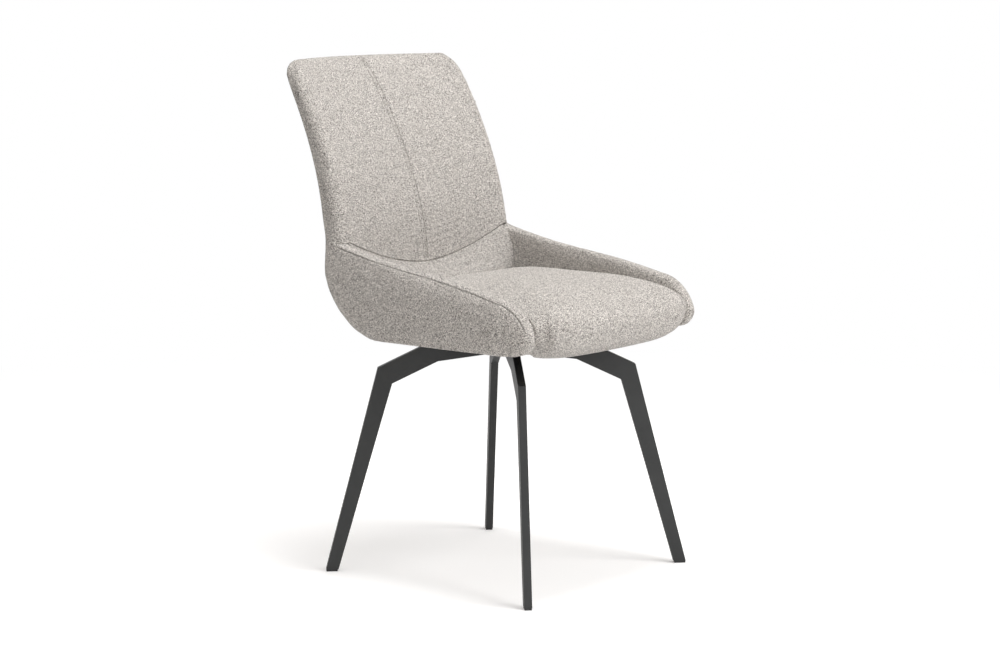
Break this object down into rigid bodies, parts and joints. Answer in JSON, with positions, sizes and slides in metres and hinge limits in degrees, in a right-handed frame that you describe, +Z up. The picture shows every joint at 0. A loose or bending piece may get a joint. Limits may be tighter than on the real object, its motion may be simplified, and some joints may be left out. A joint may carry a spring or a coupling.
{
  "type": "swivel dining chair",
  "caption": "Upholstered bucket dining chair with padded side wings and a tall curved back, turning on a ball-bearing swivel over bent, tapered flat steel legs.",
  "frame": {"origin": "on the floor, under the middle of the chair's plan at rest", "axes": "+Z up, the chair faces -Y, +X is the sitter's left"},
  "size_m": [0.4784, 0.5967, 0.848],
  "materials": {
    "leg_paint": "fine-textured matt black powder coat",
    "glide": "moulded black plastic",
    "zinc": "zinc-plated pressed steel",
    "bolt_steel": "blackened steel",
    "ball_steel": "polished bearing steel",
    "cage": "plain brass strip",
    "plywood": "bare birch plywood",
    "cover_cloth": "black dust cloth",
    "strap_steel": "grey primed steel",
    "cushion_fabric": "light greige flat-woven boucle",
    "wing_fabric": "the same boucle on the outer walls",
    "back_fabric": "light greige flat-woven boucle",
    "band_fabric": "light greige flat-woven boucle",
    "panel_fabric": "the same boucle on the rear"
  },
  "bodies": {
    "base": {"leg_front_left": "leg_paint", "leg_front_right": "leg_paint", "leg_rear_left": "leg_paint", "leg_rear_right": "leg_paint", "base_hub": "leg_paint", "base_plate": "leg_paint", "foot_glides": "glide", "swivel_bottom_plate": "zinc", "base_bolts": "bolt_steel", "base_nuts": "zinc", "swivel_rivet": "zinc"},
    "cage": {"ball_cage": "cage", "bearing_balls": "ball_steel"},
    "seat": {"swivel_top_plate": "zinc", "seat_bolts": "bolt_steel", "t_nuts": "zinc", "seat_board": "plywood", "dust_cover": "cover_cloth", "left_wing_frame": "plywood", "right_wing_frame": "plywood", "wing_screws": "zinc", "back_board": "plywood", "back_straps": "strap_steel", "strap_screws": "zinc", "seat_cushion": "cushion_fabric", "left_wing": "wing_fabric", "right_wing": "wing_fabric", "lumbar_band": "band_fabric", "backrest_pad": "back_fabric", "back_panel": "panel_fabric"}
  },
  "joints": [
    {"name": "seat_swivel", "type": "hinge", "parent": "base", "child": "seat", "pos_m": [0, -0.047, 0.3945], "axis": [0, 0, 1], "continuous": true},
    {"name": "cage_turn", "type": "hinge", "parent": "base", "child": "cage", "pos_m": [0, -0.047, 0.3945], "axis": [0, 0, 1], "continuous": true}
  ],
  "couplings": [
    {"joint": "cage_turn", "follows": "seat_swivel", "ratio": 0.5}
  ]
}
